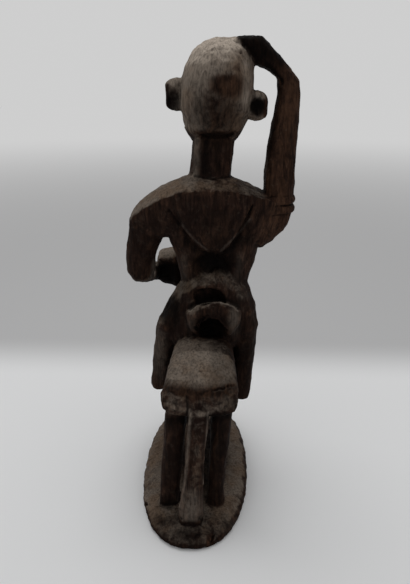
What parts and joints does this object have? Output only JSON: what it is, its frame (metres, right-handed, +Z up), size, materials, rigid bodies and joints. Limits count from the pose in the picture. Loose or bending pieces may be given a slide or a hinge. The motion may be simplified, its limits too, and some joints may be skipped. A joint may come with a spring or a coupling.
{
  "type": "equestrian figure",
  "caption": "Carved dark wood rider seated on a standing horse, one arm raised to the head, horse's head turned, on an oval base, all one piece",
  "frame": {"origin": "middle of the flat underside of the oval base", "axes": "+Z up; the horse's body lies along Y and the rider looks towards -Y; +X is the rider's left"},
  "size_m": [0.2045, 0.3008, 0.5613],
  "materials": {
    "carved_wood": "dark brown aged wood with a dry matt patina, grey-beige dust on upward faces and warmer brown on worn edges"
  },
  "bodies": {
    "root": {"equestrian_figure": "carved_wood"}
  },
  "joints": []
}
